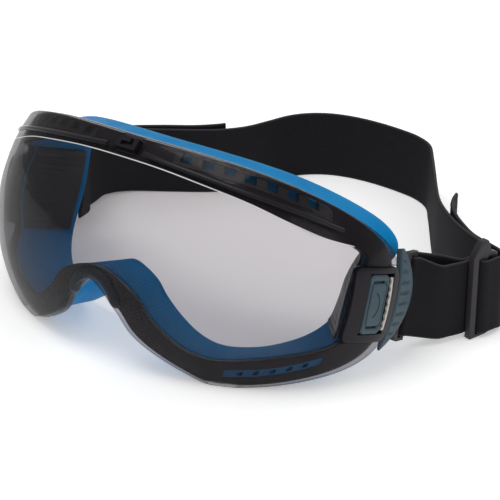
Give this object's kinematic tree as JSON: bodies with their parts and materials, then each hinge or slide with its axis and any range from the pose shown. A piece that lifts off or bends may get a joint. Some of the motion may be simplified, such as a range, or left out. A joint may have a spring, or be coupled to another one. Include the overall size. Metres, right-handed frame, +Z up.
{
  "type": "safety goggles",
  "caption": "Wide-vision safety goggles: one-piece wrap lens in a ring frame, soft face seal, press-in lens latches and an adjustable webbing headband that swings on side pivots.",
  "frame": {"origin": "centre of the bounding box on the table the goggles lie on", "axes": "+Z up from the table, -Y the way the lens faces, +X towards the wearer's left"},
  "size_m": [0.2074, 0.1993, 0.0798],
  "materials": {
    "lens_smoke": "clear smoke tint",
    "frame_dark": "satin",
    "seal_blue": "satin soft elastomer",
    "saddle_dark": "satin soft elastomer",
    "gloss_black": "gloss",
    "slate": "satin",
    "vent_blue": "satin",
    "webbing": "woven twill",
    "hardware_black": "satin"
  },
  "bodies": {
    "goggles": {"lens": "lens_smoke", "frame": "frame_dark", "face_seal": "seal_blue", "nose_saddle": "saddle_dark", "brow_catch": "gloss_black", "brow_rail_left": "gloss_black", "brow_rail_right": "gloss_black", "upper_vent_left": "frame_dark", "upper_vent_right": "frame_dark", "lower_vent_left": "vent_blue", "lower_vent_right": "vent_blue", "temple_liner_left": "frame_dark", "temple_liner_right": "frame_dark", "clip_bezel_left": "gloss_black", "clip_bezel_right": "gloss_black", "side_panel_left": "slate", "side_panel_right": "slate", "pivot_pin_left": "hardware_black", "pivot_pin_right": "hardware_black"},
    "headband": {"strap_terminal_left": "hardware_black", "strap_terminal_right": "hardware_black", "strap_loop_left": "webbing", "strap_loop_right": "webbing", "strap_tail_left": "webbing", "strap_tail_right": "webbing", "strap_main": "webbing"},
    "latch_left": {"latch_left": "slate"},
    "latch_right": {"latch_right": "slate"},
    "slider_left": {"slider_left": "hardware_black"},
    "slider_right": {"slider_right": "hardware_black"}
  },
  "joints": [
    {"name": "headband_swing", "type": "hinge", "parent": "goggles", "child": "headband", "pos_m": [0, -0.03089, 0.02555], "axis": [1, 0, 0], "range_deg": [-30, 15]},
    {"name": "latch_left_press", "type": "slide", "parent": "goggles", "child": "latch_left", "axis": [-0.9799, 0.1907, -0.0583], "range_m": [0, 0.0012], "stiffness_N_per_m": 400},
    {"name": "latch_right_press", "type": "slide", "parent": "goggles", "child": "latch_right", "axis": [0.9799, 0.1907, -0.0583], "range_m": [0, 0.0012], "stiffness_N_per_m": 400},
    {"name": "slider_left_slide", "type": "slide", "parent": "headband", "child": "slider_left", "axis": [0.2419, 0.9703, 0], "range_m": [-0.008, 0.004], "deforming": ["strap_loop_left", "strap_tail_left"]},
    {"name": "slider_right_slide", "type": "slide", "parent": "headband", "child": "slider_right", "axis": [-0.2419, 0.9703, 0], "range_m": [-0.008, 0.004], "deforming": ["strap_loop_right", "strap_tail_right"]}
  ]
}
